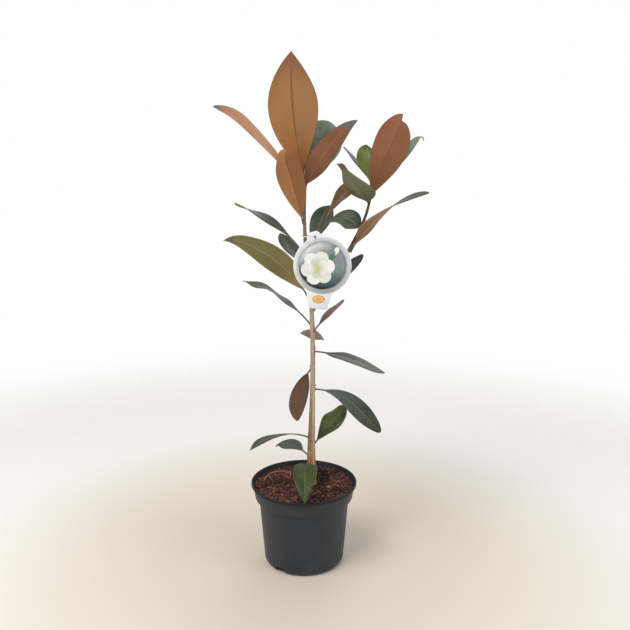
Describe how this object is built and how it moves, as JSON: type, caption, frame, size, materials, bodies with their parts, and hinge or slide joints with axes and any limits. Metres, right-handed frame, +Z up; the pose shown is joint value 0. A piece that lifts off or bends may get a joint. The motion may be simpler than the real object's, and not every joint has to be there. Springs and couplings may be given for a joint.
{
  "type": "potted magnolia tree",
  "caption": "Young evergreen magnolia with bronze-backed leaves on a slender trunk with a side bough, in a round nursery pot with a round hanging plant label.",
  "frame": {"origin": "centre of the pot's flat underside, on the floor that it stands on", "axes": "+Z up; the front, with the label, faces -Y; the side bough leans towards +X"},
  "size_m": [0.3297, 0.2126, 0.7971],
  "materials": {
    "pot_plastic": "charcoal black moulded plastic with a soft sheen",
    "potting_mix": "damp reddish brown bark mix, matte",
    "bark": "tan brown bark with pale breathing pores, matte",
    "young_bark": "reddish brown bark of young wood, matte",
    "leaf": "leathery green upper side with a satin shine",
    "leaf_underside": "bronze felt on the underside of a leaf, matte",
    "label_plastic": "printed white plastic sheet, satin",
    "tie_plastic": "white plastic loop, satin"
  },
  "bodies": {
    "root": {"pot": "pot_plastic", "potting_mix": "potting_mix", "trunk": "bark", "bough_right": "young_bark", "leaf_01": "leaf", "leaf_02": "leaf", "leaf_03": "leaf", "leaf_04": "leaf", "leaf_05": "leaf", "leaf_06": "leaf", "leaf_07": "leaf", "leaf_08": "leaf", "leaf_09": "leaf", "leaf_10": "leaf", "leaf_11": "leaf", "leaf_12": "leaf", "leaf_13": "leaf", "leaf_14": "leaf", "leaf_15": "leaf", "leaf_16": "leaf", "leaf_17": "leaf", "leaf_18": "leaf", "leaf_19": "leaf", "leaf_20": "leaf", "whorl_leader": "leaf_underside", "whorl_bough": "leaf_underside", "label": "label_plastic", "label_tie": "tie_plastic"}
  },
  "joints": []
}
